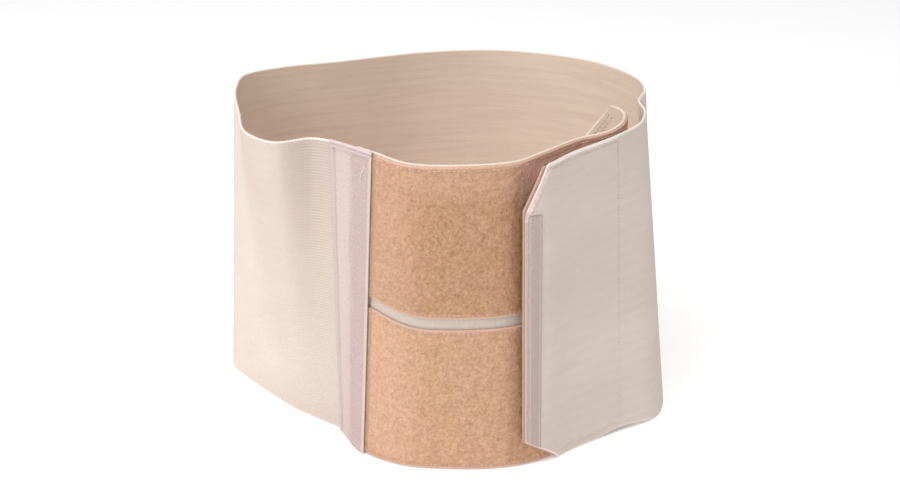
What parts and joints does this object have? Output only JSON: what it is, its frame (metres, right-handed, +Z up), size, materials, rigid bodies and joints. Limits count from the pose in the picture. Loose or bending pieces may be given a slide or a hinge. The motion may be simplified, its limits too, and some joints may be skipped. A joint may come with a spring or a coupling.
{
  "type": "abdominal binder",
  "caption": "Wide elastic binder standing open as a loop, with a brushed loop closure panel at the front and a hook flap lying over it.",
  "frame": {"origin": "middle of the binder's box on the surface that it stands on", "axes": "+Z up along the band's height, +X to the right seen from the front, +Y to the back; the closure panel and the flap face -Y"},
  "size_m": [0.3486, 0.3, 0.2312],
  "materials": {
    "elastic": "ribbed woven elastic, pale beige",
    "backing": "plain woven cloth, cream",
    "brushed_loop": "brushed loop pile, tan",
    "seam_tape": "ribbed tape, pale pink",
    "hook_cloth": "fine moulded hooks on cloth, peach",
    "end_tape": "stitched tape, mauve grey"
  },
  "bodies": {
    "root": {"elastic_band": "elastic", "panel_backing": "backing", "upper_loop_panel": "brushed_loop", "lower_loop_panel": "brushed_loop", "seam_tape": "seam_tape", "hook_patch": "hook_cloth", "end_tape": "end_tape"}
  },
  "joints": []
}
